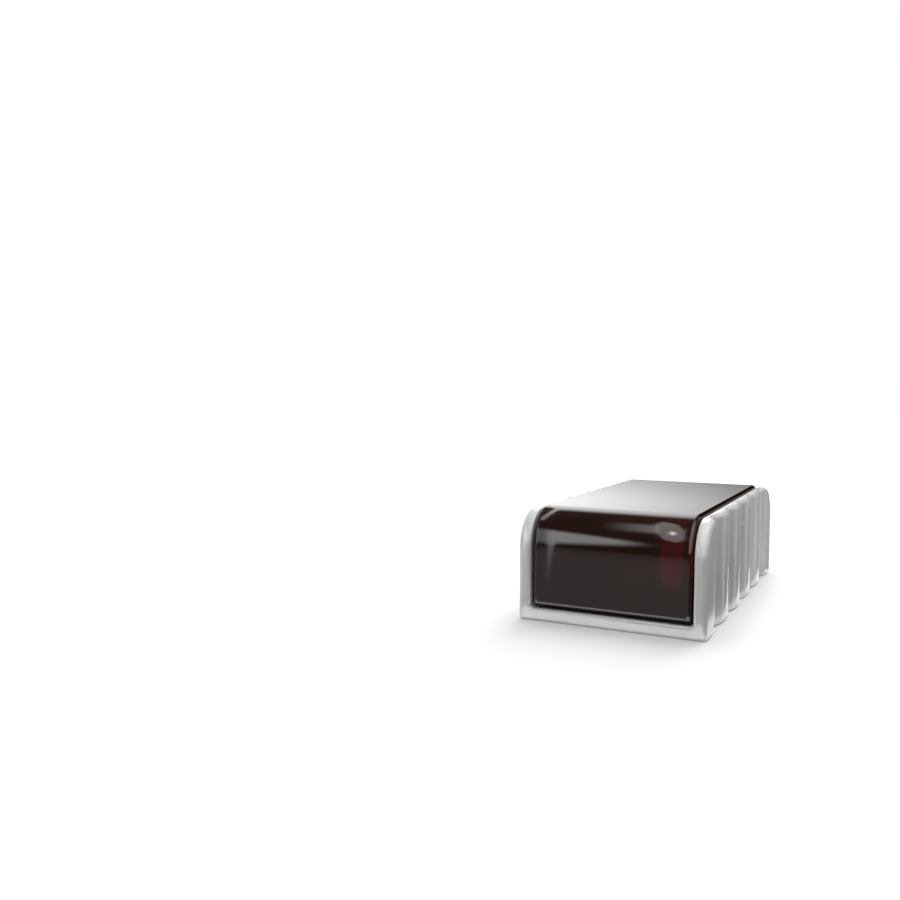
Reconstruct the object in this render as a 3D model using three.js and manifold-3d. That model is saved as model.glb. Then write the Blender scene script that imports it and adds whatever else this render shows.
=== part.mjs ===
// Rosin cake in its holder: a cast block of rosin lying in a moulded open channel that keeps
// the player's fingers off it. Millimetres, +Z up, X across, Y along; the origin is at the
// centre of the underside, and the end that faces the player is at -Y.
import * as THREE from 'three';
import { mergeVertices } from 'three/addons/utils/BufferGeometryUtils.js';
import Module from 'manifold-3d';

const wasm = await Module();
wasm.setup();

// Holder
const LENGTH = 60;
const WIDTH = 30.2;
const RIM_HEIGHT = 17.8;
const WALL = 2;
const FLOOR = 2;
const CORNER_RADIUS = 6; // top corners of the side walls, seen from the side
const EDGE_RADIUS = 0.8; // outer edges all round
const BASE_RADIUS = 1; // bottom corners of the side walls, seen from the side
const CHANNEL_RADIUS = 0.6; // inner corners between floor and walls

// Finger grips: upright bulges between sharp valleys, and a pillar at each end
const GRIPS_PER_SIDE = 4;
const GRIP_PITCH = 10.15;
const GRIP_DEPTH = 0.8;
const PILLAR_CENTRE = 25.1; // where a pillar's flat face starts to curve inwards
const PILLAR_RADIUS = 2.6;

// Block
const CLEARANCE = 0.3;
const END_SETBACK = 0.5; // the block's ends stand this far inside the holder's
const BLOCK_TOP = 18.2;
const BLOCK_CORNER_RADIUS = 6;
const BLOCK_EDGE_RADIUS = 0.6;
const BLOCK_BASE_RADIUS = 0.8;

// Adhesive strips, each in a shallow groove in the floor
const STRIP_WIDTH = 4;
const STRIP_LENGTH = 44;
const STRIP_THICKNESS = 0.4;
const STRIP_OFFSET = 6.5; // from the centre line to a strip's own

const OVERCUT = 1; // how far a cutting solid runs past the surface that it opens
const ROOT = 0.6; // how deep the grips are rooted in the wall behind their valleys
const ARC_STEPS = 5;
const EDGE_STEPS = 2;
const GRIP_STEPS = 120; // in the full circle that a grip's face is part of
const PILLAR_STEPS = 32;

// Joining and cutting

function toSolid(geometry) {
  const bare = geometry.clone();
  bare.deleteAttribute('normal');
  bare.deleteAttribute('uv');
  const merged = mergeVertices(bare, 1e-5);
  const corners = merged.index.array;
  const triangles = [];
  for (let i = 0; i < corners.length; i += 3) {
    const [a, b, c] = corners.slice(i, i + 3);
    const shrunk = a === b || b === c || c === a; // as at the axis of a lathed shape
    if (!shrunk) triangles.push(a, b, c);
  }
  return new wasm.Manifold(new wasm.Mesh({
    numProp: 3,
    vertProperties: new Float32Array(merged.attributes.position.array),
    triVerts: new Uint32Array(triangles),
  }));
}

function toGeometry(solid) {
  const mesh = solid.getMesh();
  const geometry = new THREE.BufferGeometry();
  geometry.setAttribute('position', new THREE.BufferAttribute(mesh.vertProperties, 3));
  geometry.setIndex(new THREE.BufferAttribute(mesh.triVerts, 1));
  geometry.computeVertexNormals();
  return geometry;
}

function box(low, high) {
  const size = new THREE.Vector3().subVectors(high, low);
  const centre = new THREE.Vector3().addVectors(low, high).multiplyScalar(0.5);
  const geometry = new THREE.BoxGeometry(size.x, size.y, size.z);
  geometry.translate(centre.x, centre.y, centre.z);
  return toSolid(geometry);
}

// Shapes

// A slab seen from the side, standing on z = low, with large top corners
function sideProfile(halfLength, low, high, topRadius, bottomRadius) {
  const shape = new THREE.Shape();
  const [bottomY, bottomZ] = [halfLength - bottomRadius, low + bottomRadius];
  const [topY, topZ] = [halfLength - topRadius, high - topRadius];
  shape.absarc(bottomY, bottomZ, bottomRadius, -Math.PI / 2, 0);
  shape.absarc(topY, topZ, topRadius, 0, Math.PI / 2);
  shape.absarc(-topY, topZ, topRadius, Math.PI / 2, Math.PI);
  shape.absarc(-bottomY, bottomZ, bottomRadius, Math.PI, 1.5 * Math.PI);
  return shape;
}

// The profile carried across the part, from -halfWidth to halfWidth, with its edges rounded
function slab(profile, halfWidth, edgeRadius) {
  const geometry = new THREE.ExtrudeGeometry(profile, {
    depth: 2 * (halfWidth - edgeRadius),
    steps: 1,
    curveSegments: ARC_STEPS,
    bevelEnabled: true,
    bevelThickness: edgeRadius,
    bevelSize: edgeRadius,
    bevelOffset: -edgeRadius,
    bevelSegments: 2 * EDGE_STEPS,
  });
  geometry.translate(0, 0, -(halfWidth - edgeRadius));
  const across = new THREE.Matrix4().makeBasis(
    new THREE.Vector3(0, 1, 0), new THREE.Vector3(0, 0, 1), new THREE.Vector3(1, 0, 0));
  geometry.applyMatrix4(across);
  return toSolid(geometry);
}

// An upright drum of the holder's height with rounded rims
function drum(radius, steps) {
  const inner = radius - EDGE_RADIUS;
  const profile = new THREE.Path();
  profile.moveTo(0, 0);
  profile.lineTo(inner, 0);
  profile.absarc(inner, EDGE_RADIUS, EDGE_RADIUS, -Math.PI / 2, 0);
  profile.absarc(inner, RIM_HEIGHT - EDGE_RADIUS, EDGE_RADIUS, 0, Math.PI / 2);
  profile.lineTo(0, RIM_HEIGHT);
  const geometry = new THREE.LatheGeometry(profile.getPoints(EDGE_STEPS), steps);
  geometry.rotateX(Math.PI / 2);
  return toSolid(geometry);
}

// A flat pad with round ends, lying along Y
function pad(width, length, low, high) {
  const radius = width / 2;
  const straight = length / 2 - radius;
  const shape = new THREE.Shape();
  shape.absarc(0, straight, radius, 0, Math.PI);
  shape.absarc(0, -straight, radius, Math.PI, 2 * Math.PI);
  const geometry = new THREE.ExtrudeGeometry(shape, {
    depth: high - low, bevelEnabled: false, curveSegments: ARC_STEPS,
  });
  geometry.translate(0, 0, low);
  return geometry;
}

// Holder

function gripBulges() {
  const halfPitch = GRIP_PITCH / 2;
  const radius = (halfPitch ** 2 + GRIP_DEPTH ** 2) / (2 * GRIP_DEPTH);
  const bulge = drum(radius, GRIP_STEPS).translate([WIDTH / 2 - radius, 0, 0]);
  const slot = box(
    new THREE.Vector3(WIDTH / 2 - GRIP_DEPTH - ROOT, -halfPitch, -OVERCUT),
    new THREE.Vector3(WIDTH, halfPitch, RIM_HEIGHT + OVERCUT));
  const grip = bulge.intersect(slot);
  const first = -GRIP_PITCH * (GRIPS_PER_SIDE - 1) / 2;
  let row = grip.translate([0, first, 0]);
  for (let i = 1; i < GRIPS_PER_SIDE; i += 1) {
    row = row.add(grip.translate([0, first + i * GRIP_PITCH, 0]));
  }
  return row.add(row.mirror([1, 0, 0]));
}

function endPillars(outer) {
  const ends = box(
    new THREE.Vector3(-WIDTH, PILLAR_CENTRE, -OVERCUT),
    new THREE.Vector3(WIDTH, LENGTH, RIM_HEIGHT + OVERCUT));
  const round = drum(PILLAR_RADIUS, PILLAR_STEPS);
  const side = WIDTH / 2 - PILLAR_RADIUS;
  const rounds = round.translate([side, PILLAR_CENTRE, 0])
    .add(round.translate([-side, PILLAR_CENTRE, 0]));
  const end = outer.intersect(ends.add(rounds));
  return end.add(end.mirror([0, 1, 0]));
}

function channel() {
  const half = WIDTH / 2 - WALL;
  const [cornerX, cornerZ] = [half - CHANNEL_RADIUS, FLOOR + CHANNEL_RADIUS];
  const shape = new THREE.Shape();
  shape.absarc(-cornerX, cornerZ, CHANNEL_RADIUS, Math.PI, 1.5 * Math.PI);
  shape.absarc(cornerX, cornerZ, CHANNEL_RADIUS, -Math.PI / 2, 0);
  shape.lineTo(half, RIM_HEIGHT + OVERCUT);
  shape.lineTo(-half, RIM_HEIGHT + OVERCUT);
  const run = LENGTH + 2 * OVERCUT;
  const geometry = new THREE.ExtrudeGeometry(shape, {
    depth: run, bevelEnabled: false, curveSegments: EDGE_STEPS,
  });
  geometry.rotateX(Math.PI / 2);
  geometry.translate(0, run / 2, 0);
  return toSolid(geometry);
}

function glueGroove() {
  const low = FLOOR - STRIP_THICKNESS - CLEARANCE;
  return toSolid(pad(STRIP_WIDTH + 2 * CLEARANCE, STRIP_LENGTH + 2 * CLEARANCE, low, FLOOR + OVERCUT));
}

function holderGeometry() {
  const profile = sideProfile(LENGTH / 2, 0, RIM_HEIGHT, CORNER_RADIUS, BASE_RADIUS);
  const outer = slab(profile, WIDTH / 2, EDGE_RADIUS);
  const core = slab(profile, WIDTH / 2 - GRIP_DEPTH, EDGE_RADIUS);
  const groove = glueGroove();
  const solid = core
    .add(endPillars(outer))
    .add(gripBulges())
    .subtract(channel())
    .subtract(groove.translate([STRIP_OFFSET, 0, 0]))
    .subtract(groove.translate([-STRIP_OFFSET, 0, 0]));
  return toGeometry(solid);
}

// Block

function blockGeometry() {
  const low = FLOOR + CLEARANCE;
  const profile = sideProfile(
    LENGTH / 2 - END_SETBACK, low, BLOCK_TOP, BLOCK_CORNER_RADIUS, BLOCK_BASE_RADIUS);
  return toGeometry(slab(profile, WIDTH / 2 - WALL - CLEARANCE, BLOCK_EDGE_RADIUS));
}

// Strips

function stripGeometry() {
  return pad(STRIP_WIDTH, STRIP_LENGTH, FLOOR - STRIP_THICKNESS, FLOOR);
}

// Assembly

const plastic = new THREE.MeshStandardMaterial({ color: 0xd6d6d4, roughness: 0.25, metalness: 0 });
const rosin = new THREE.MeshStandardMaterial({ color: 0x2a1512, roughness: 0.12, metalness: 0 });
const adhesive = new THREE.MeshStandardMaterial({ color: 0xe8e3d2, roughness: 0.7, metalness: 0 });

function node(name, geometry, material) {
  const mesh = new THREE.Mesh(geometry, material);
  mesh.name = name;
  return mesh;
}

const part = new THREE.Group();
part.add(node('holder', holderGeometry(), plastic));
part.add(node('rosin_block', blockGeometry(), rosin));
for (const [name, x] of [['adhesive_strip_left', -STRIP_OFFSET], ['adhesive_strip_right', STRIP_OFFSET]]) {
  const strip = node(name, stripGeometry(), adhesive);
  strip.position.set(x, 0, 0);
  part.add(strip);
}

export default part;
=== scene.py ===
"""Looks for the rosin cake: a fine mesh for the moulded holder, one for the cast block, procedural
materials for every piece, and a plain studio. Meshes are worked out in millimetres, in the CAD's
frame: X across, Y along, Z up, with the origin at the centre of the underside."""

import math

import bmesh
import bpy
import numpy as np
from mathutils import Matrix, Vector


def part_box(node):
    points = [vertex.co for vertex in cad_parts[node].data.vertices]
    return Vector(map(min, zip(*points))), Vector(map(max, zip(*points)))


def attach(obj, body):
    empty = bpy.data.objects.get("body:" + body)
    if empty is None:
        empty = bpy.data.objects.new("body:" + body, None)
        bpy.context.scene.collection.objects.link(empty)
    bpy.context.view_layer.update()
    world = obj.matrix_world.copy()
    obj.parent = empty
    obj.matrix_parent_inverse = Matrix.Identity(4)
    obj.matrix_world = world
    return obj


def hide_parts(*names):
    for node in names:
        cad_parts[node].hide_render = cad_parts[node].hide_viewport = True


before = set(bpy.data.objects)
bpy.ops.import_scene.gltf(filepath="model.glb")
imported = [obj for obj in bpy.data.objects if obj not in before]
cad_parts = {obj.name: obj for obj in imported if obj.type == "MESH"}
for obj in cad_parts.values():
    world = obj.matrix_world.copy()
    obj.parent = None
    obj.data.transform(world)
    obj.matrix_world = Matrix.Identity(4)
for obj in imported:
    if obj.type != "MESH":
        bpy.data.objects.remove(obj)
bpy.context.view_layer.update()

MM = 0.001
BODY = "root"

# Holder, from its CAD node's box
HOLDER_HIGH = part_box("holder")[1]
SIDE = HOLDER_HIGH.x / MM
END = HOLDER_HIGH.y / MM
RIM = HOLDER_HIGH.z / MM

WALL = 2.0
FLOOR = 2.0
CORNER = 6.0  # top corners of the side walls, seen from the side
EDGE = 0.8  # outer edges of the rims and the ends
BASE_EDGE = 0.5  # edges all round the underside
RIM_LIP = 0.3  # inner edges of the rims
END_LIP = 0.5  # inner edges of the end openings
CHANNEL_CORNER = 0.6  # between floor and walls

GRIP_PLACES = (-1.5, -0.5, 0.5, 1.5)  # along the side, in pitches from its middle
GRIP_PITCH = 10.15
GRIP_DEPTH = 0.8
GRIP_RADIUS = (GRIP_PITCH ** 2 / 4 + GRIP_DEPTH ** 2) / (2 * GRIP_DEPTH)
PILLAR_START = 25.1  # where a pillar's flat side begins
PILLAR_RADIUS = 2.6
VALLEY_BLEND = 0.03  # how far the tool's radius fills a valley

# Mark of the mould's gate, in the middle of the underside
GATE_RADIUS = 1.5
GATE_DEPTH = 0.25
GATE_PROFILE = ((1, 0), (0.93, 0.4), (0.8, 1), (0.35, 1), (0.27, 0.7), (0.2, 0.5))  # shares of both

# Grooves in the floor for the adhesive strips
STRIP_LOW, STRIP_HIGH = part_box("adhesive_strip_right")
STRIP_CLEARANCE = 0.3
GROOVE_CENTRE = (STRIP_LOW.x + STRIP_HIGH.x) / 2 / MM
GROOVE_RADIUS = (STRIP_HIGH.x - STRIP_LOW.x) / 2 / MM + STRIP_CLEARANCE
GROOVE_STRAIGHT = STRIP_HIGH.y / MM + STRIP_CLEARANCE - GROOVE_RADIUS
GROOVE_FLOOR = STRIP_LOW.z / MM - STRIP_CLEARANCE

# Block
BLOCK_LOW, BLOCK_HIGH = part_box("rosin_block")
BLOCK_CORNER = 6.0  # top corners, seen from the side
BLOCK_BASE = 0.8  # bottom corners, seen from the side
BLOCK_EDGE = 0.55  # edges between its sides and the rest
BLOCK_SPACING = 1.5  # between points along its flat faces

# Steps of the meshes
CORNER_STEPS = 30  # round a large top corner
BLOCK_BASE_STEPS = 6
EDGE_STEPS = 8
BASE_EDGE_STEPS = 5
LIP_STEPS = 6
BLOCK_EDGE_STEPS = 7
BEND_STEPS = 8  # round the channel's corner, an upright edge's foot or a quarter of the gate
GROOVE_STEPS = 16  # round a groove's end
GRIP_STEPS = 26  # along one grip
RECESS_STEPS = 14  # between the last grip and the pillar
PILLAR_STEPS = 6
PILLAR_GATHER = 1.6  # how strongly those lie closer together towards the grips
ACROSS_STEPS = 8  # from the middle of the end to its side
LEVEL_STEPS = 6  # up the straight part of a wall
SIDE_SHARES = (0.35, 0.7, 0.95, 1)  # up the side face, above the top corner's centre
WALL_SHARES = (0.5, 1)  # up the inner wall there
BLOCK_ACROSS_STEPS = 26

# Joining and shading
WELD = 2e-6  # metres
SHRUNK = 1e-7
CREASE = math.radians(50)
FLAT_WEIGHT = 80  # how much a wide face counts when normals are averaged


# Mesh building

class Skin:
    """Quads and polygons in millimetres, welded into one closed mesh."""

    def __init__(self):
        self.points = []
        self.faces = []

    def polygon(self, points):
        start = len(self.points)
        self.points.extend(tuple(p) for p in points)
        self.faces.append(list(range(start, len(self.points))))

    def grid(self, rows):
        """Quads between neighbouring points of an array of rows."""
        rows = np.asarray(rows, float)
        count, width = rows.shape[:2]
        start = len(self.points)
        self.points.extend(map(tuple, rows.reshape(-1, 3)))
        for i in range(count - 1):
            for j in range(width - 1):
                a = start + i * width + j
                self.faces.append([a, a + 1, a + width + 1, a + width])

    def mirror(self, axis):
        """Adds the same faces reflected in the plane through the origin across that axis."""
        start = len(self.points)
        flip = [1, 1, 1]
        flip[axis] = -1
        self.points.extend([tuple(c * f for c, f in zip(p, flip)) for p in self.points])
        self.faces.extend([[start + i for i in reversed(face)] for face in self.faces])

    def build(self, name):
        mesh = bpy.data.meshes.new(name)
        bm = bmesh.new()
        verts = [bm.verts.new(Vector(p) * MM) for p in self.points]
        for face in self.faces:
            bm.faces.new([verts[i] for i in face])
        bmesh.ops.remove_doubles(bm, verts=bm.verts, dist=WELD)
        bmesh.ops.dissolve_degenerate(bm, edges=bm.edges, dist=SHRUNK)
        bmesh.ops.recalc_face_normals(bm, faces=bm.faces)
        open_edges = sum(not edge.is_manifold for edge in bm.edges)
        if open_edges:
            raise RuntimeError(f"{name} has {open_edges} open edges")
        bm.to_mesh(mesh)
        bm.free()
        mesh.shade_smooth()
        mesh.set_sharp_from_angle(angle=CREASE)
        piece = bpy.data.objects.new(name, mesh)
        bpy.context.scene.collection.objects.link(piece)
        weighted = piece.modifiers.new("flat faces stay flat", "WEIGHTED_NORMAL")
        weighted.keep_sharp = True
        weighted.weight = FLAT_WEIGHT
        return piece


def line(x, y, z):
    """A row of points, from arrays of their coordinates or single values."""
    return np.stack(np.broadcast_arrays(x, y, z), axis=1)


def gathered(start, end, steps):
    """Values from start to end that lie closer together towards both."""
    share = (1 - np.cos(np.linspace(0, math.pi, steps + 1))) / 2
    return start + (end - start) * share


def quarter_turn(steps):
    """(inset, depth) shares round a quarter circle, from the surface it leaves to the one it meets."""
    turn = np.linspace(math.pi / 2, 0, steps + 1)
    return 1 - np.cos(turn), 1 - np.sin(turn)


def soft_max(a, b, blend):
    """The larger of the two, raised by up to blend where they are nearly alike."""
    reach = 4 * blend
    overlap = np.maximum(reach - np.abs(a - b), 0) / reach
    return np.maximum(a, b) + overlap ** 2 * blend


# Holder: a quarter of it, in lines of points that start from its middle

def side_reach(y, inset):
    """How far out the holder's side lies at y, with all its faces moved in by inset."""
    reach = np.full_like(y, SIDE - GRIP_DEPTH - inset)
    for place in GRIP_PLACES:
        across = (GRIP_RADIUS - inset) ** 2 - (y - place * GRIP_PITCH) ** 2
        bulge = SIDE - GRIP_RADIUS + np.sqrt(np.maximum(across, 0))
        reach = soft_max(reach, bulge, VALLEY_BLEND)
    radius = PILLAR_RADIUS - inset
    before = np.clip(PILLAR_START - y, 0, radius)
    pillar = SIDE - PILLAR_RADIUS + np.sqrt(radius ** 2 - before ** 2)
    return soft_max(reach, pillar, VALLEY_BLEND)


def crease_places(inset):
    """Where along the side its creases lie, with all its faces moved in by inset: the middle, the
    next valley, the last grip's end, the pillar's start and the start of the top corner."""
    def run_out(radius):
        return math.sqrt(GRIP_DEPTH * (2 * (radius - inset) - GRIP_DEPTH))

    last_grip = GRIP_PLACES[-1] * GRIP_PITCH + run_out(GRIP_RADIUS)
    pillar = PILLAR_START - run_out(PILLAR_RADIUS)
    return [0, GRIP_PITCH, last_grip, pillar, END - CORNER]


def straight_columns():
    """Places along the side as far as the top corner, closest together at the creases."""
    middle, valley, last_grip, pillar, corner = crease_places(0)
    shares = np.linspace(0, 1, PILLAR_STEPS + 1) ** PILLAR_GATHER
    return np.concatenate([
        gathered(middle, valley, GRIP_STEPS)[:-1],
        gathered(valley, last_grip, GRIP_STEPS)[:-1],
        gathered(last_grip, pillar, RECESS_STEPS)[:-1],
        pillar + (corner - pillar) * shares])


def with_creases(columns, inset):
    return np.interp(columns, crease_places(0), crease_places(inset))


INNER = SIDE - WALL
CORNER_Y, CORNER_Z = END - CORNER, RIM - CORNER  # the centre of the top corner
CHANNEL_X, CHANNEL_Z = INNER - CHANNEL_CORNER, FLOOR + CHANNEL_CORNER  # that of the channel's
COLUMNS = straight_columns()
TURN = np.linspace(math.pi / 2, 0, CORNER_STEPS + 1)[1:]  # round the top corner, down to the end
TOP_COUNT = len(COLUMNS) + len(TURN)
BEND = np.linspace(0, -math.pi / 2, BEND_STEPS + 1)  # round the channel's corner, down to the floor
WALL_LEVELS = np.linspace(CHANNEL_Z, CORNER_Z, LEVEL_STEPS + 1)
LEVELS = np.concatenate([[BASE_EDGE, 0.7, 1.4], WALL_LEVELS])  # closer together near the underside
BAND_COUNT = TOP_COUNT + LEVEL_STEPS  # along the rim and down the end to the channel's corner
BASE_X = np.linspace(0, SIDE - EDGE, ACROSS_STEPS + 1)[:-1]
LIP_X = np.linspace(CHANNEL_X, 0, ACROSS_STEPS + 1)[1:]


def outer_edge():
    """Lines along the rim, round the top corner and down the end, from the top out to the side."""
    down = LEVELS[-2::-1]
    lines = []
    for inset, depth in zip(*(share * EDGE for share in quarter_turn(EDGE_STEPS))):
        y = np.concatenate([
            with_creases(COLUMNS, inset),
            CORNER_Y + (CORNER - depth) * np.cos(TURN),
            np.full(len(down), END - depth)])
        z = np.concatenate([
            np.full(len(COLUMNS), RIM - depth),
            CORNER_Z + (CORNER - depth) * np.sin(TURN),
            down])
        lines.append(line(side_reach(y, inset), y, z))
    return np.array(lines)


def opening_path():
    """Points along the rim, round the top corner, down the end and across the lip, each with the way
    out over the surface, the way into the channel and the edge's radius there."""
    outwards, inwards, down = (1, 0, 0), (0, -1, 0), (0, 0, -1)
    for y in COLUMNS:
        yield (INNER, y, RIM), outwards, down, RIM_LIP
    for angle in TURN:
        cos, sin = math.cos(angle), math.sin(angle)
        point = (INNER, CORNER_Y + CORNER * cos, CORNER_Z + CORNER * sin)
        radius = END_LIP + (RIM_LIP - END_LIP) * sin ** 2
        yield point, outwards, (0, -cos, -sin), radius
    for z in WALL_LEVELS[-2::-1]:
        yield (INNER, END, z), outwards, inwards, END_LIP
    for angle in BEND[1:]:
        cos, sin = math.cos(angle), math.sin(angle)
        point = (CHANNEL_X + CHANNEL_CORNER * cos, END, CHANNEL_Z + CHANNEL_CORNER * sin)
        yield point, (cos, 0, sin), inwards, END_LIP
    for x in LIP_X:
        yield (x, END, FLOOR), down, inwards, END_LIP


def opening_edge():
    """Lines along that path, from inside the channel out to the surface."""
    point, out, into, radius = (np.array(part, float) for part in zip(*opening_path()))
    radius = radius[:, None]
    return np.array([
        point + out * radius * o + into * radius * i for i, o in zip(*quarter_turn(LIP_STEPS))])


def add_side(skin, outer):
    y, top = outer[-1, :TOP_COUNT, 1], outer[-1, :TOP_COUNT, 2]
    heights = list(LEVELS)
    heights += [CORNER_Z + (top - CORNER_Z) * share for share in SIDE_SHARES]
    x = side_reach(y, 0)
    skin.grid([line(x, y, z) for z in heights])


def add_end(skin, outer, opening):
    """The flat of the rim as far down as the channel's corner, then the end under it and the lip."""
    skin.grid([outer[0, :BAND_COUNT], opening[-1, :BAND_COUNT]])
    front = [(x, END, BASE_EDGE) for x in BASE_X]
    skin.polygon([*front, *outer[0, BAND_COUNT - 1:][::-1], *opening[-1, BAND_COUNT - 1:]])


def add_channel(skin, opening):
    """The inner wall, the corner under it, and the floor with its groove."""
    y, top = opening[0, :TOP_COUNT, 1], opening[0, :TOP_COUNT, 2]
    heights = list(WALL_LEVELS)
    heights += [CORNER_Z + (top - CORNER_Z) * share for share in WALL_SHARES]
    skin.grid([line(INNER, y, z) for z in heights])
    corner = [
        line(CHANNEL_X + CHANNEL_CORNER * math.cos(a), y, CHANNEL_Z + CHANNEL_CORNER * math.sin(a))
        for a in BEND]
    skin.grid(corner)
    arc = np.linspace(0, math.pi, GROOVE_STEPS + 1)
    groove = [(GROOVE_CENTRE + GROOVE_RADIUS, 0.0)]
    groove += [(GROOVE_CENTRE + GROOVE_RADIUS * math.cos(a),
                GROOVE_STRAIGHT + GROOVE_RADIUS * math.sin(a)) for a in arc]
    groove += [(GROOVE_CENTRE - GROOVE_RADIUS, 0.0)]
    rim, foot = ([(x, y, z) for x, y in groove] for z in (FLOOR, GROOVE_FLOOR))
    lip = opening[0, BAND_COUNT + BEND_STEPS - 1:]
    skin.polygon([*lip[::-1], *corner[-1][::-1][1:], *rim, (0, 0, FLOOR)])
    skin.grid([rim, foot])
    skin.polygon(foot)


def add_underside(skin, outer):
    """The edge round the underside, and the underside with the gate's mark."""
    side_down = np.concatenate([outer[-1, len(COLUMNS):TOP_COUNT, 1][::-1][1:], COLUMNS[::-1]])
    foot = np.linspace(math.pi / 2, 0, BEND_STEPS + 1)  # of the upright edge beside the end
    skirt = []
    for inset, depth in zip(*(share * BASE_EDGE for share in quarter_turn(BASE_EDGE_STEPS))):
        radius = EDGE - inset
        side_y = np.where(side_down > CORNER_Y, side_down, with_creases(side_down, inset))
        x = np.concatenate([
            BASE_X, SIDE - EDGE + radius * np.cos(foot), side_reach(side_y, inset)])
        y = np.concatenate([
            np.full(len(BASE_X), END - inset), END - EDGE + radius * np.sin(foot), side_y])
        skirt.append(line(x, y, depth))
    skin.grid(skirt)
    turn = np.linspace(0, math.pi / 2, BEND_STEPS + 1)
    gate = [
        [(GATE_RADIUS * r * math.cos(a), GATE_RADIUS * r * math.sin(a), GATE_DEPTH * d)
         for a in turn] for r, d in GATE_PROFILE]
    skin.grid(gate)
    skin.polygon([*gate[-1], (0, 0, gate[-1][0][2])])
    skin.polygon([*skirt[0], *gate[0]])


def make_holder():
    outer, opening = outer_edge(), opening_edge()
    skin = Skin()
    skin.grid(outer)
    add_side(skin, outer)
    skin.grid(opening)
    add_end(skin, outer, opening)
    add_channel(skin, opening)
    add_underside(skin, outer)
    skin.mirror(0)
    skin.mirror(1)
    return skin.build("holder_shell")


# Block

def block_section():
    """The block seen from the side: points round it and the way in from each."""
    low, high = BLOCK_LOW.z / MM, BLOCK_HIGH.z / MM
    end = BLOCK_HIGH.y / MM
    corners = [
        (-(end - BLOCK_BASE), low + BLOCK_BASE, BLOCK_BASE, -math.pi, BLOCK_BASE_STEPS),
        (end - BLOCK_BASE, low + BLOCK_BASE, BLOCK_BASE, -math.pi / 2, BLOCK_BASE_STEPS),
        (end - BLOCK_CORNER, high - BLOCK_CORNER, BLOCK_CORNER, 0, CORNER_STEPS),
        (-(end - BLOCK_CORNER), high - BLOCK_CORNER, BLOCK_CORNER, math.pi / 2, CORNER_STEPS),
    ]
    points, ways = [], []
    for y, z, radius, start, steps in corners:
        for angle in np.linspace(start, start + math.pi / 2, steps + 1):
            out = np.array([math.cos(angle), math.sin(angle)])
            points.append(np.array([y, z]) + radius * out)
            ways.append(-out)
    return points, ways


def make_block():
    points, ways = block_section()
    filled, filled_ways = [], []
    for i, point in enumerate(points):
        after = points[(i + 1) % len(points)]
        steps = max(1, round(float(np.linalg.norm(after - point)) / BLOCK_SPACING))
        for k in range(steps):
            filled.append(point + (after - point) * k / steps)
            filled_ways.append(ways[i])
    half = BLOCK_HIGH.x / MM
    insets, depths = quarter_turn(BLOCK_EDGE_STEPS)
    right = half - insets * BLOCK_EDGE
    middle = gathered(-(half - BLOCK_EDGE), half - BLOCK_EDGE, BLOCK_ACROSS_STEPS)[1:-1]
    across = np.concatenate([-right[::-1], middle, right])
    depth = np.concatenate([depths[::-1], np.zeros(len(middle)), depths]) * BLOCK_EDGE
    skin = Skin()
    ring = np.array([
        [(x, *(p + w * d)) for x, d in zip(across, depth)]
        for p, w in zip(filled + filled[:1], filled_ways + filled_ways[:1])])
    skin.grid(ring)
    skin.polygon(ring[:-1, 0])
    skin.polygon(ring[:-1, -1])
    return skin.build("rosin_cake_block")


holder = make_holder()
block = make_block()
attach(holder, BODY)
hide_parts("holder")
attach(block, BODY)
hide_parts("rosin_block")


# Node trees

class Nodes:
    """Builds a node tree."""

    def __init__(self, tree):
        self.tree = tree
        tree.nodes.clear()

    def put(self, socket, value):
        if isinstance(value, bpy.types.NodeSocket):
            self.tree.links.new(value, socket)
        else:
            socket.default_value = value

    def add(self, kind, **inputs):
        """A node with its inputs set by name, to a value or another node's output."""
        node = self.tree.nodes.new(kind)
        for name, value in inputs.items():
            self.put(node.inputs[name.replace("_", " ")], value)
        return node

    def math(self, operation, *values):
        node = self.add("ShaderNodeMath")
        node.operation = operation
        for socket, value in zip(node.inputs, values):
            self.put(socket, value)
        return node.outputs["Value"]

    def total(self, first, *others):
        for other in others:
            first = self.math("ADD", first, other)
        return first

    def product(self, first, *others):
        for other in others:
            first = self.math("MULTIPLY", first, other)
        return first

    def largest(self, first, *others):
        for other in others:
            first = self.math("MAXIMUM", first, other)
        return first

    def root_of_squares(self, *values):
        return self.math("SQRT", self.total(*(self.product(value, value) for value in values)))

    def off(self, value, centre, unit=1):
        """How far the value lies from the centre, either way, in units."""
        return self.math("ABSOLUTE", self.product(self.total(value, -centre), 1 / unit))

    def span(self, value, start, end, low=0.0, high=1.0, smooth=True):
        """Goes from low to high while the value goes from start to end, and stays there."""
        node = self.add("ShaderNodeMapRange")
        node.interpolation_type = "SMOOTHSTEP" if smooth else "LINEAR"
        for socket, number in zip(node.inputs, (value, start, end, low, high)):
            self.put(socket, number)
        return node.outputs["Result"]

    def window(self, value, rise, fall):
        """Goes from 0 to 1 while the value crosses the rise, and back while it crosses the fall."""
        return self.product(self.span(value, *rise), self.span(value, *fall, 1, 0))

    def mix(self, factor, a, b):
        """A mix of colours, whose sockets share their names with those for values."""
        node = self.add("ShaderNodeMix")
        node.data_type = "RGBA"
        for index, value in ((0, factor), (6, a), (7, b)):
            self.put(node.inputs[index], value)
        return node.outputs[2]

    def mix_value(self, factor, a, b):
        return self.add("ShaderNodeMix", Factor=factor, A=a, B=b).outputs["Result"]

    def ramp(self, factor, *stops):
        """Values or colours at positions from 0 to 1."""
        node = self.add("ShaderNodeValToRGB", Fac=factor)
        elements = node.color_ramp.elements
        while len(elements) < len(stops):
            elements.new(0.5)
        for element, (position, value) in zip(elements, stops):
            element.position = position
            element.color = (*value, 1) if isinstance(value, tuple) else (value, value, value, 1)
        return node.outputs["Color"]


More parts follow.
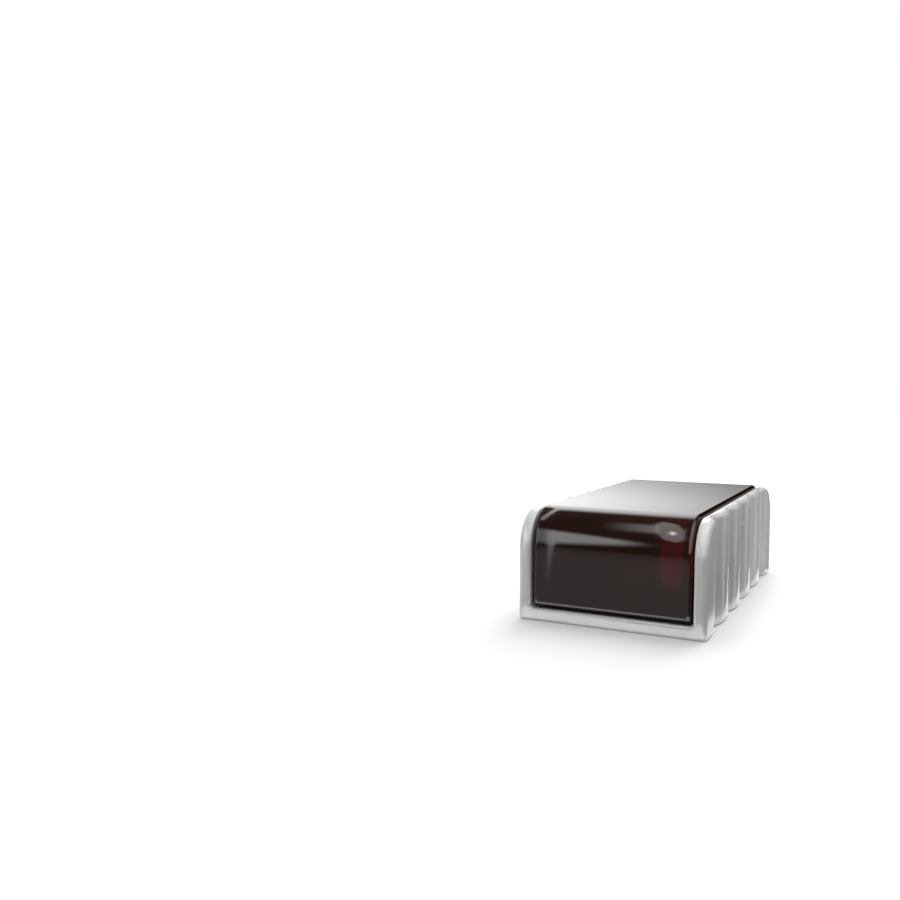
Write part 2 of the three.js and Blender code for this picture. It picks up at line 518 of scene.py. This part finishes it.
class Shader(Nodes):
    """A procedural material around one Principled shader, on object coordinates in millimetres."""

    def __init__(self, name, **values):
        self.material = bpy.data.materials.new(name)
        self.material.use_nodes = True
        super().__init__(self.material.node_tree)
        self.surface = self.add("ShaderNodeBsdfPrincipled", **values)
        self.add("ShaderNodeOutputMaterial", Surface=self.surface.outputs["BSDF"])
        place = self.add("ShaderNodeTexCoord").outputs["Object"]
        to_mm = self.add("ShaderNodeVectorMath", Vector=place)
        to_mm.operation = "SCALE"
        to_mm.inputs["Scale"].default_value = 1 / MM
        self.place = to_mm.outputs["Vector"]

    def noise(self, scale, detail=2.0, roughness=0.5, distortion=0.0):
        """Noise with scale features to the millimetre."""
        node = self.add("ShaderNodeTexNoise", Vector=self.place, Scale=scale, Detail=detail,
                        Roughness=roughness, Distortion=distortion)
        return node.outputs["Fac"]

    def mottled(self, scale, low, high, **noise):
        """Values or colours that wander between low and high."""
        return self.ramp(self.noise(scale, **noise), (0.3, low), (0.7, high))

    def bump(self, height, distance):
        return self.add("ShaderNodeBump", Height=height, Distance=distance * MM).outputs["Normal"]

    def set(self, **inputs):
        for name, value in inputs.items():
            self.put(self.surface.inputs[name.replace("_", " ")], value)


# Materials

# Painted glow: light that would come through the rosin near its front, painted into its colour as a
# tongue that hangs from the top edge and a margin on the right
TONGUE_X = 9.7
TONGUE_FOOT = 9.5  # height below which it is rounded off
TONGUE_STRETCH = 0.6  # how much its height counts against its width there, as squares
TONGUE_LIGHT = 0.5
MARGIN_LIGHT = 0.6


def plastic_material():
    shader = Shader("holder_plastic", IOR=1.5, Specular_IOR_Level=0.9, Subsurface_Weight=0.3,
                    Subsurface_Scale=0.001, Subsurface_Radius=(1, 1, 1))
    shader.set(
        Base_Color=shader.mottled(0.12, (0.75, 0.745, 0.74), (0.80, 0.795, 0.79), detail=3),
        Roughness=shader.ramp(shader.noise(0.5, detail=4), (0.3, 0.10), (0.75, 0.18)),
        Normal=shader.bump(shader.noise(9, detail=3), 0.0004))
    return shader.material


# Painted glow: the rosin's colour lit up where light would come through it, not real transmitted light
def painted_rosin_glow(shader):
    parts = shader.add("ShaderNodeSeparateXYZ", Vector=shader.place).outputs
    x, y, z = parts["X"], parts["Y"], parts["Z"]
    beside = shader.off(x, TONGUE_X)
    below = shader.largest(shader.math("SUBTRACT", TONGUE_FOOT, z), 0)
    away = shader.root_of_squares(beside, shader.product(below, math.sqrt(TONGUE_STRETCH)))
    tongue = shader.product(
        shader.span(away, 1.5, 2.0, 1, 0), shader.span(z, 13.8, 16.0, 1, 0.35),
        shader.span(y, -26, -24, 1, 0), TONGUE_LIGHT)
    margin = shader.product(
        shader.span(x, 11.9, 12.3), shader.span(z, 4, 14),
        shader.span(y, -28, -27, 1, 0), MARGIN_LIGHT)
    return shader.largest(tongue, margin)


def rosin_material():
    shader = Shader("rosin", IOR=1.43)
    clouds = shader.noise(0.09, detail=3, distortion=0.6)
    deep = shader.ramp(clouds, (0.35, (0.014, 0.0036, 0.0010)), (0.75, (0.023, 0.0044, 0.0014)))
    shader.set(
        # The base colour carries the painted glow of light coming through near the front
        Base_Color=shader.mix(painted_rosin_glow(shader), deep, (0.12, 0.007, 0.005, 1)),
        Roughness=shader.ramp(shader.noise(0.8, detail=4), (0.3, 0.02), (0.75, 0.05)),
        Normal=shader.bump(shader.noise(0.15, detail=1), 0.004))
    return shader.material


def adhesive_material():
    shader = Shader("adhesive", IOR=1.45)
    weave = shader.noise(3.5, detail=4, roughness=0.7)
    shader.set(
        Base_Color=shader.ramp(weave, (0.3, (0.62, 0.57, 0.44)), (0.7, (0.80, 0.76, 0.64))),
        Roughness=shader.ramp(weave, (0.3, 0.55), (0.7, 0.8)),
        Normal=shader.bump(weave, 0.03))
    return shader.material


holder.data.materials.append(plastic_material())
block.data.materials.append(rosin_material())
adhesive = adhesive_material()
for name in ("adhesive_strip_left", "adhesive_strip_right"):
    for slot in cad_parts[name].material_slots:
        slot.material = adhesive


# Stage: a white table, low cards and lit strips on it, a studio round it, and lamps

TABLE_REACH = 1200
TABLE_LIFT = 0.01  # above the underside, which is then seen and lit from below
TABLE_WHITE = (0.86, 0.88)
HOLE_MARGIN = 2  # of the table that runs in under the part
CARD_LIFT = 0.5
STRIP_LIFT = 0.25
CARD_GAP = 3
CARD_REACH = 45

# Corners and grey of each card that takes away bounced light beside the part
DARK_CARDS = {
    "side_card": ((SIDE + CARD_GAP, -45), (SIDE + CARD_REACH, 6), 0.15),
    "front_card": ((-20, -END - CARD_REACH), (40, -END - CARD_GAP), 0.45),
    "left_card": ((-SIDE - CARD_REACH, -25), (-SIDE - CARD_GAP, END), 0.4),
    "rear_card": ((-SIDE - CARD_GAP, END + CARD_GAP), (SIDE + CARD_GAP, END + CARD_REACH), 0.3),
}

# Corners and brightness of each strip of the table that lights the part's gloss
LIT_STRIPS = {
    "lip_strip": ((-SIDE - 2, -END - 8.5), (SIDE + 2, -END - 0.3), 3.2),
    "foot_strip": ((SIDE - 0.6, -END), (SIDE + 2.4, END), 0.42),
}

# Azimuth, elevation, strength and spread of each lamp
LAMPS = {
    "key": (178, 80, 2.5, 60),
    "back": (178, 38, 1.4, 40),
}

DOME = 0.40  # how bright the studio's dome is overhead
BELOW = 1.8  # its light under the table, which shows the underside, against overhead

# Brightness of the lights that gloss reflects, where white is 1
STRIP_BOX = 5.2
STAND = 3.0
OCTAGON = 3.2
BULB = 26
SHEET = 2.9
CURVED_LINE = 4.8
RIGHT_BOX = 2.8
WALLS = 0.9
UPRIGHT = 0.7


def stage_piece(name, corners, material, faces=((0, 1, 2, 3),)):
    mesh = bpy.data.meshes.new(name)
    mesh.from_pydata(corners, [], faces)
    mesh.materials.append(material)
    piece = bpy.data.objects.new(name, mesh)
    bpy.context.scene.collection.objects.link(piece)
    return piece


def flat_corners(low, high, lift):
    """Corners of a level rectangle, in metres, from millimetres."""
    (x0, y0), (x1, y1) = low, high
    return [(x * MM, y * MM, lift * MM) for x, y in ((x0, y0), (x1, y0), (x1, y1), (x0, y1))]


def seen_from_above(shader):
    """Makes a stage piece clear from below."""
    above = shader.math("SUBTRACT", 1, shader.add("ShaderNodeNewGeometry").outputs["Backfacing"])
    shader.set(Alpha=above)


def table():
    """The table, with a hole under the part, so that its underside is lit."""
    shader = Shader("table", IOR=1.45, Roughness=0.8, Specular_IOR_Level=0.0)
    shader.set(Base_Color=shader.mottled(0.02, *TABLE_WHITE))
    seen_from_above(shader)
    outer = flat_corners((-TABLE_REACH, -TABLE_REACH), (TABLE_REACH, TABLE_REACH), TABLE_LIFT)
    x, y = SIDE - HOLE_MARGIN, END - HOLE_MARGIN
    hole = flat_corners((-x, -y), (x, y), TABLE_LIFT)
    sides = [(i, (i + 1) % 4, (i + 1) % 4 + 4, i + 4) for i in range(4)]
    stage_piece("table", outer + hole, shader.material, sides).visible_glossy = False


def dark_card(name, low, high, grey):
    """A card just over the table that only bounced light meets."""
    shader = Shader(name, Roughness=0.9, Specular_IOR_Level=0.0)
    shader.set(Base_Color=shader.mottled(0.02, grey, grey * 1.2))
    seen_from_above(shader)
    card = stage_piece(name, flat_corners(low, high, CARD_LIFT), shader.material)
    card.visible_camera = False
    card.visible_glossy = False
    card.visible_shadow = False
    card.visible_transmission = False


def lit_strip(name, low, high, light):
    """A lit strip just over the table, seen only in glossy surfaces."""
    shader = Shader(name, Roughness=0.9, Specular_IOR_Level=0.0, Emission_Color=(1, 1, 1, 1))
    shader.set(
        Base_Color=shader.mottled(0.02, *TABLE_WHITE),
        Emission_Strength=shader.product(shader.mottled(0.05, 0.9, 1.1), light))
    strip = stage_piece(name, flat_corners(low, high, STRIP_LIFT), shader.material)
    strip.visible_camera = False
    strip.visible_diffuse = False
    strip.visible_shadow = False
    strip.visible_transmission = False


class Studio(Nodes):
    """The lights round the part, known by their way from it only. Across goes from -1 on the left to
    1 on the right, and turn is in degrees: 0 ahead, 90 overhead, 180 behind, less than 0 below."""

    def __init__(self, tree):
        super().__init__(tree)
        way = self.add("ShaderNodeTexCoord").outputs["Generated"]
        parts = self.add("ShaderNodeSeparateXYZ", Vector=way).outputs
        self.across, self.back, self.up = parts["X"], parts["Y"], parts["Z"]
        ahead = self.product(self.back, -1)
        self.turn = self.product(self.math("ARCTAN2", self.up, ahead), 180 / math.pi)

    def leaning(self, slope, pivot):
        """The turn plus a slope times the way across from a pivot, so that what it shapes leans."""
        return self.total(self.turn, self.product(self.total(self.across, -pivot), slope))

    def strip_box(self):
        """Ahead on the left: its foot and head lean, and a seam parts it from its dimmer left end."""
        foot = self.span(self.leaning(-150, -0.358), -6, 12)
        head = self.span(self.leaning(190, -0.29), 21, 34, 1, 0)
        seam = self.largest(self.span(self.across, -0.381, -0.377, 0.75, 0),
                            self.span(self.across, -0.371, -0.362, 0.4, 1))
        sides = self.window(self.across, (-0.55, -0.45), (-0.300, -0.245))
        return self.product(foot, head, seam, sides, STRIP_BOX)

    def stand(self):
        """The strip box's stand, which narrows to a point at its foot."""
        half_width = self.total(self.span(self.turn, -13, -10.5, 0, 0.0028, smooth=False),
                                self.span(self.turn, -10.5, -3, 0, 0.0014, smooth=False))
        outside = self.math("SUBTRACT", self.off(self.across, -0.362), half_width)
        return self.product(
            self.span(outside, -0.0010, 0.0008, 1, 0), self.span(self.turn, -14, -7, 0.4, 1),
            self.span(self.turn, 0, 8, 1, 0), STAND)

    def octagon(self):
        """A box with eight sides, high ahead."""
        off_across = self.off(self.across, -0.2405, 0.0155)
        off_turn = self.off(self.leaning(600, -0.2405), 67, 30)
        cut_corner = self.product(self.total(off_across, off_turn), 0.68)
        return self.span(self.largest(off_across, off_turn, cut_corner), 0.93, 1.05, OCTAGON, 0)

    def bulb(self):
        """The octagonal box's bulb."""
        away = self.root_of_squares(
            self.off(self.across, -0.2375, 0.0022), self.off(self.turn, 61, 6.5))
        return self.span(away, 0, 1.6, BULB, 0)

    def sheet(self):
        """A dim sheet to the left of the octagonal box."""
        return self.product(self.window(self.turn, (50, 66), (76, 92)),
                            self.window(self.across, (-0.315, -0.256), (-0.2555, -0.250)), SHEET)

    def rear_box(self):
        """A large box behind, brighter to the left, which fades out just above the horizon."""
        stepped = self.math("SUBTRACT", self.turn, self.span(self.across, -0.364, -0.357, 13, 0))
        near_edge = self.span(stepped, 116, 136)
        slope = self.span(self.across, -0.40, -0.05, 4.12, 1.9, smooth=False)
        fall = self.span(self.turn, 140, 172.8, 0, -1.92, smooth=False)
        return self.product(
            self.largest(self.total(self.product(near_edge, slope), fall), 0),
            self.span(self.turn, 172.8, 176.2, 1, 0, smooth=False),
            self.span(self.across, -0.50, -0.41, 0.12, 1),
            self.span(self.across, -0.15, -0.09, 1, 0.02))

    def curved_line(self):
        """A thin line of light that curves away from the rear box's left corner."""
        away = self.off(self.leaning(-3400, -0.3625), 111)
        return self.product(self.span(away, 4, 13, 1, 0),
                            self.window(self.turn, (68, 80), (120, 134)), CURVED_LINE)

    def right_box(self):
        """A large dim box, high on the right."""
        return self.product(
            self.span(self.across, -0.212, -0.209), self.span(self.across, 0.4, 0.8, 1, 0.3),
            self.window(self.turn, (0, 12), (90, 130)), RIGHT_BOX)

    def walls(self):
        """Dim walls of light at both sides."""
        return self.product(self.span(self.off(self.across, 0), 0.6, 0.95),
                            self.span(self.up, 0.05, 0.3), WALLS)

    def upright(self):
        """A narrow upright light behind and to the right."""
        return self.product(self.span(self.off(self.across, 0.42), 0.015, 0.06, 1, 0),
                            self.span(self.back, 0.2, 0.5), UPRIGHT)

    def surroundings(self):
        """The table as a mirror sees it, darker far away and on the right, and the room over it."""
        table_top = self.product(self.span(self.turn, -11.3, -9.2, 0.75, 0.15),
                                 self.span(self.across, -0.05, 0.1, 1, 0.25))
        room = self.span(self.turn, 135, 165, 0.15, 0)
        return self.mix_value(self.span(self.up, -0.01, 0.01), table_top, room)

    def mirrored(self):
        """All that glossy surfaces reflect."""
        return self.total(
            self.strip_box(), self.stand(), self.octagon(), self.sheet(), self.bulb(), self.rear_box(),
            self.curved_line(), self.upright(), self.right_box(), self.walls(), self.surroundings())

    def dome(self):
        """General light: brightest overhead on the left, and even below the table."""
        overhead = self.product(self.span(self.up, 0, 1, 0.45, 1.0),
                                self.span(self.across, -0.6, 0.7, 1.0, 0.05))
        return self.product(self.mix_value(self.span(self.up, -0.1, 0, 1, 0), overhead, BELOW), DOME)


def studio_world():
    """The softboxes in glossy surfaces, the dim dome for other light, and white behind the part."""
    world = bpy.data.worlds.new("studio")
    world.use_nodes = True
    studio = Studio(world.node_tree)
    path = studio.add("ShaderNodeLightPath").outputs
    light = studio.mix_value(path["Is Glossy Ray"], studio.dome(), studio.mirrored())
    strength = studio.mix_value(path["Is Camera Ray"], light, 1.0)
    background = studio.add("ShaderNodeBackground", Color=(1, 1, 1, 1), Strength=strength)
    studio.add("ShaderNodeOutputWorld", Surface=background.outputs["Background"])
    bpy.context.scene.world = world


def direction(azimuth, elevation):
    """A way out from the part: azimuth from straight ahead of the player's end, towards +X."""
    a, e = math.radians(azimuth), math.radians(elevation)
    return Vector((math.sin(a) * math.cos(e), -math.cos(a) * math.cos(e), math.sin(e)))


def broad_light(name, azimuth, elevation, strength, spread):
    """A soft light that lies so far off that it has no place, only a way, and shows no reflection."""
    light = bpy.data.lights.new(name, "SUN")
    light.energy = strength
    light.angle = math.radians(spread)
    lamp = bpy.data.objects.new(name, light)
    lamp.rotation_euler = (-direction(azimuth, elevation)).to_track_quat("-Z", "Y").to_euler()
    lamp.visible_glossy = False
    bpy.context.scene.collection.objects.link(lamp)


table()
for name, card in DARK_CARDS.items():
    dark_card(name, *card)
for name, strip in LIT_STRIPS.items():
    lit_strip(name, *strip)
studio_world()
for name, lamp in LAMPS.items():
    broad_light(name, *lamp)

camera_data = bpy.data.cameras.new("camera")
camera_data.lens = 35.777
camera_data.sensor_width = 36
camera_data.clip_start = 0.005
camera = bpy.data.objects.new("camera", camera_data)
camera.location = (0.042689, -0.162291, 0.037166)
camera.rotation_euler = (math.radians(86.191), 0, math.radians(28.016))
bpy.context.scene.collection.objects.link(camera)
bpy.context.scene.camera = camera
bpy.context.scene.view_settings.view_transform = "Standard"
